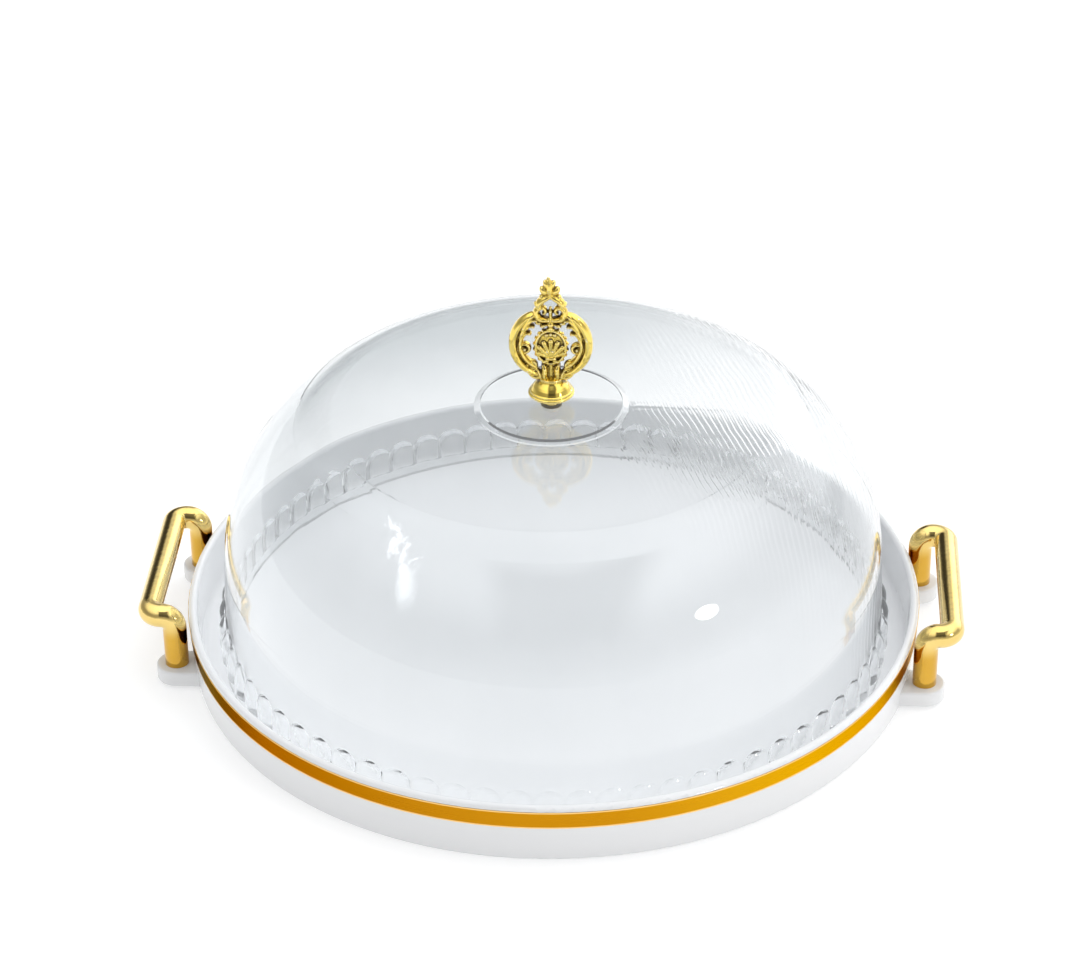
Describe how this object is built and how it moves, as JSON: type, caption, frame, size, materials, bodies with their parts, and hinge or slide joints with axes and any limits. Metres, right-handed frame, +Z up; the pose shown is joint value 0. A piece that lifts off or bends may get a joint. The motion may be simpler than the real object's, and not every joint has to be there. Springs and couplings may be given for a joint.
{
  "type": "covered serving tray",
  "caption": "Round shallow serving tray with a gold band and bail handles, under a clear fluted dome cover with an openwork knob.",
  "frame": {"origin": "middle of the round surface that the tray stands on", "axes": "+Z up through the knob, +X through the right handle, +Y to the rear"},
  "size_m": [0.3562, 0.3204, 0.1814],
  "materials": {
    "tray_plastic": "smooth white gloss moulding",
    "band_metal": "polished gold strip",
    "handle_metal": "polished gold plate on a casting",
    "knob_metal": "polished gold plate on an openwork casting",
    "clear_plastic": "clear moulding with fine streaks",
    "screw_steel": "plain zinc plate"
  },
  "bodies": {
    "root": {"tray": "tray_plastic", "gold_band": "band_metal", "right_handle": "handle_metal", "left_handle": "handle_metal", "right_front_screw": "screw_steel", "right_rear_screw": "screw_steel", "left_front_screw": "screw_steel", "left_rear_screw": "screw_steel", "dome_cover": "clear_plastic", "finial_knob": "knob_metal", "knob_washer": "screw_steel", "knob_screw": "screw_steel"}
  },
  "joints": []
}
